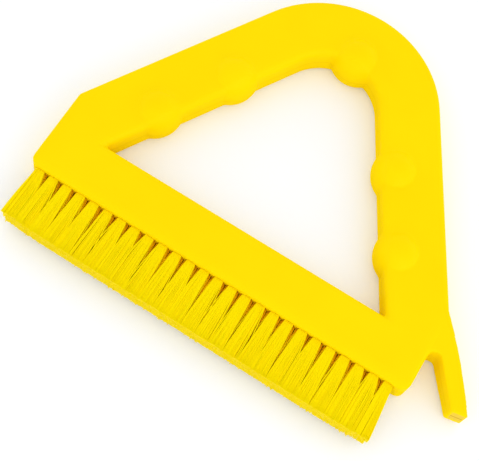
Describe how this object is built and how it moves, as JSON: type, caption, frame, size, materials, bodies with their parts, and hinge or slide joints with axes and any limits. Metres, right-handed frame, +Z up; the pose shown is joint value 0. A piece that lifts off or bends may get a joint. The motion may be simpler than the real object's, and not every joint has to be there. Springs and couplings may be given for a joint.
{
  "type": "grout brush",
  "caption": "Triangular hand brush for scrubbing tile joints, with a straight block of stiff bristle tufts, a finger-grip handle and a hanging leg.",
  "frame": {"origin": "on the flat underside, under the middle of the bristle block", "axes": "+X along the bristle block towards the end with the leg, +Y from the bristles towards the round top, +Z up from the table that the brush lies on"},
  "size_m": [0.2593, 0.213, 0.0245],
  "materials": {
    "handle_plastic": "satin injection-moulded polypropylene, bright warm yellow",
    "bristle": "stiff crimp-free polyester filament, yellow, with a soft sheen",
    "anchor_metal": "plain flat wire"
  },
  "bodies": {
    "root": {"handle": "handle_plastic", "anchors_upper_row": "anchor_metal", "anchors_lower_row": "anchor_metal", "tuft_upper_01": "bristle", "tuft_upper_02": "bristle", "tuft_upper_03": "bristle", "tuft_upper_04": "bristle", "tuft_upper_05": "bristle", "tuft_upper_06": "bristle", "tuft_upper_07": "bristle", "tuft_upper_08": "bristle", "tuft_upper_09": "bristle", "tuft_upper_10": "bristle", "tuft_upper_11": "bristle", "tuft_upper_12": "bristle", "tuft_upper_13": "bristle", "tuft_upper_14": "bristle", "tuft_upper_15": "bristle", "tuft_upper_16": "bristle", "tuft_upper_17": "bristle", "tuft_upper_18": "bristle", "tuft_upper_19": "bristle", "tuft_upper_20": "bristle", "tuft_upper_21": "bristle", "tuft_upper_22": "bristle", "tuft_upper_23": "bristle", "tuft_upper_24": "bristle", "tuft_upper_25": "bristle", "tuft_upper_26": "bristle", "tuft_lower_01": "bristle", "tuft_lower_02": "bristle", "tuft_lower_03": "bristle", "tuft_lower_04": "bristle", "tuft_lower_05": "bristle", "tuft_lower_06": "bristle", "tuft_lower_07": "bristle", "tuft_lower_08": "bristle", "tuft_lower_09": "bristle", "tuft_lower_10": "bristle", "tuft_lower_11": "bristle", "tuft_lower_12": "bristle", "tuft_lower_13": "bristle", "tuft_lower_14": "bristle", "tuft_lower_15": "bristle", "tuft_lower_16": "bristle", "tuft_lower_17": "bristle", "tuft_lower_18": "bristle", "tuft_lower_19": "bristle", "tuft_lower_20": "bristle", "tuft_lower_21": "bristle", "tuft_lower_22": "bristle", "tuft_lower_23": "bristle", "tuft_lower_24": "bristle", "tuft_lower_25": "bristle"}
  },
  "joints": []
}
